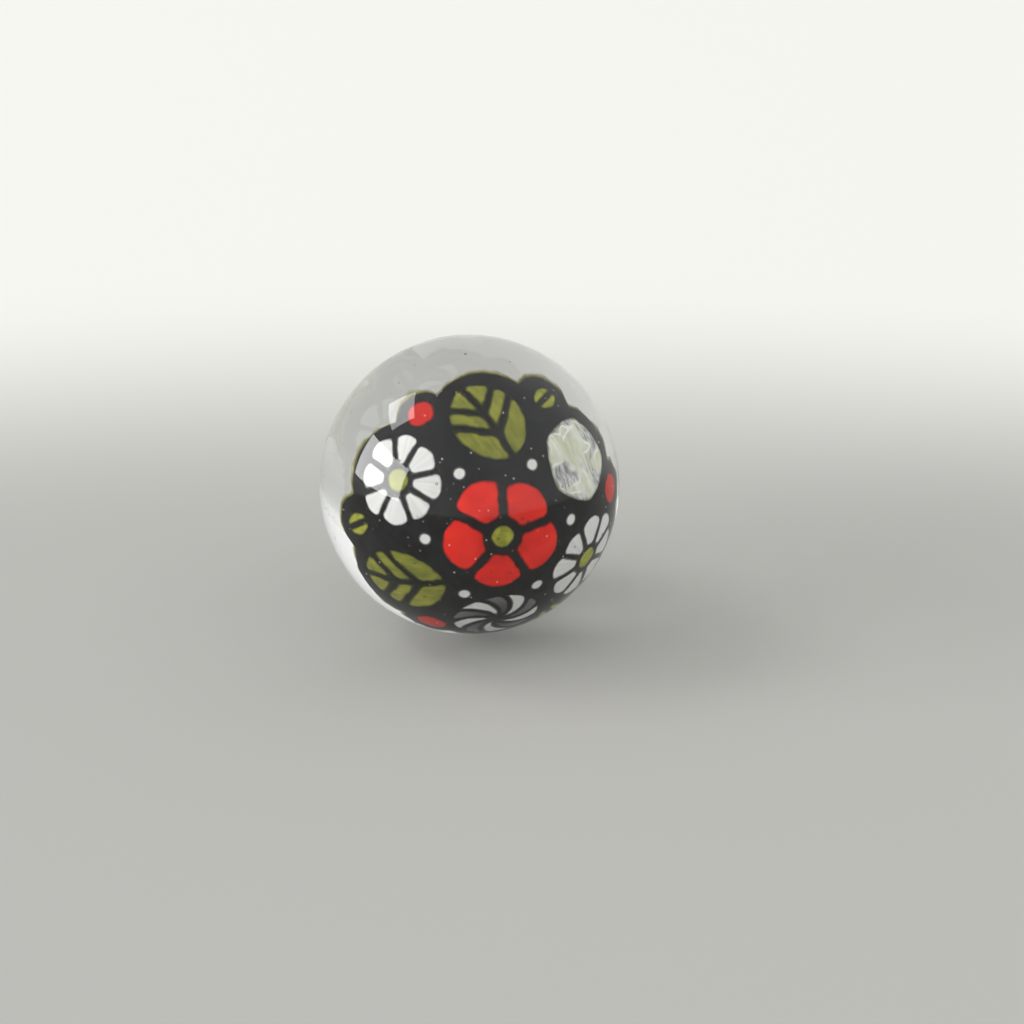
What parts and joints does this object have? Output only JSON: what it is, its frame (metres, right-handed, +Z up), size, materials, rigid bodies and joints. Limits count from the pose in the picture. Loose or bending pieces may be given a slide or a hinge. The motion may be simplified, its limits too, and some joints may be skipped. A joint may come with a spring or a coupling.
{
  "type": "glass marble",
  "caption": "Clear glass ball that encases a curved sheet of millefiori cane slices: red poppy, white daisies, olive leaves, opal pebble and pinwheel on black.",
  "frame": {"origin": "centre of the clear ball", "axes": "+Z up, away from the stand; the middle of the sheet of slices faces -Y; +X is to the right seen from the front"},
  "size_m": [0.035, 0.035, 0.035],
  "materials": {
    "clear_glass": "clear soda-lime glass, fire polished",
    "black_glass": "opaque black glass, fused",
    "red_glass": "opaque red glass, fused",
    "white_glass": "opaque white glass, fused",
    "olive_glass": "translucent olive green glass, fused",
    "moss_glass": "translucent bright moss green glass, fused",
    "opal_glass": "milky pale green opal glass, fused",
    "smoke_glass": "smoke grey glass, fused"
  },
  "bodies": {
    "root": {"clear_glass": "clear_glass", "black_ground": "black_glass", "poppy_petals": "red_glass", "poppy_heart": "moss_glass", "daisy_1_petals": "white_glass", "daisy_1_heart": "moss_glass", "daisy_2_petals": "white_glass", "daisy_2_heart": "moss_glass", "leaf_1": "olive_glass", "leaf_2": "olive_glass", "opal_pebble": "opal_glass", "pinwheel_smoke": "smoke_glass", "pinwheel_white": "white_glass", "berry_1": "red_glass", "berry_2": "red_glass", "berry_3": "red_glass", "leaflet_1": "moss_glass", "leaflet_2": "moss_glass", "leaflet_3": "moss_glass", "seed_1": "white_glass", "seed_2": "white_glass", "seed_3": "white_glass", "seed_4": "white_glass", "seed_5": "white_glass", "seed_6": "white_glass"}
  },
  "joints": []
}
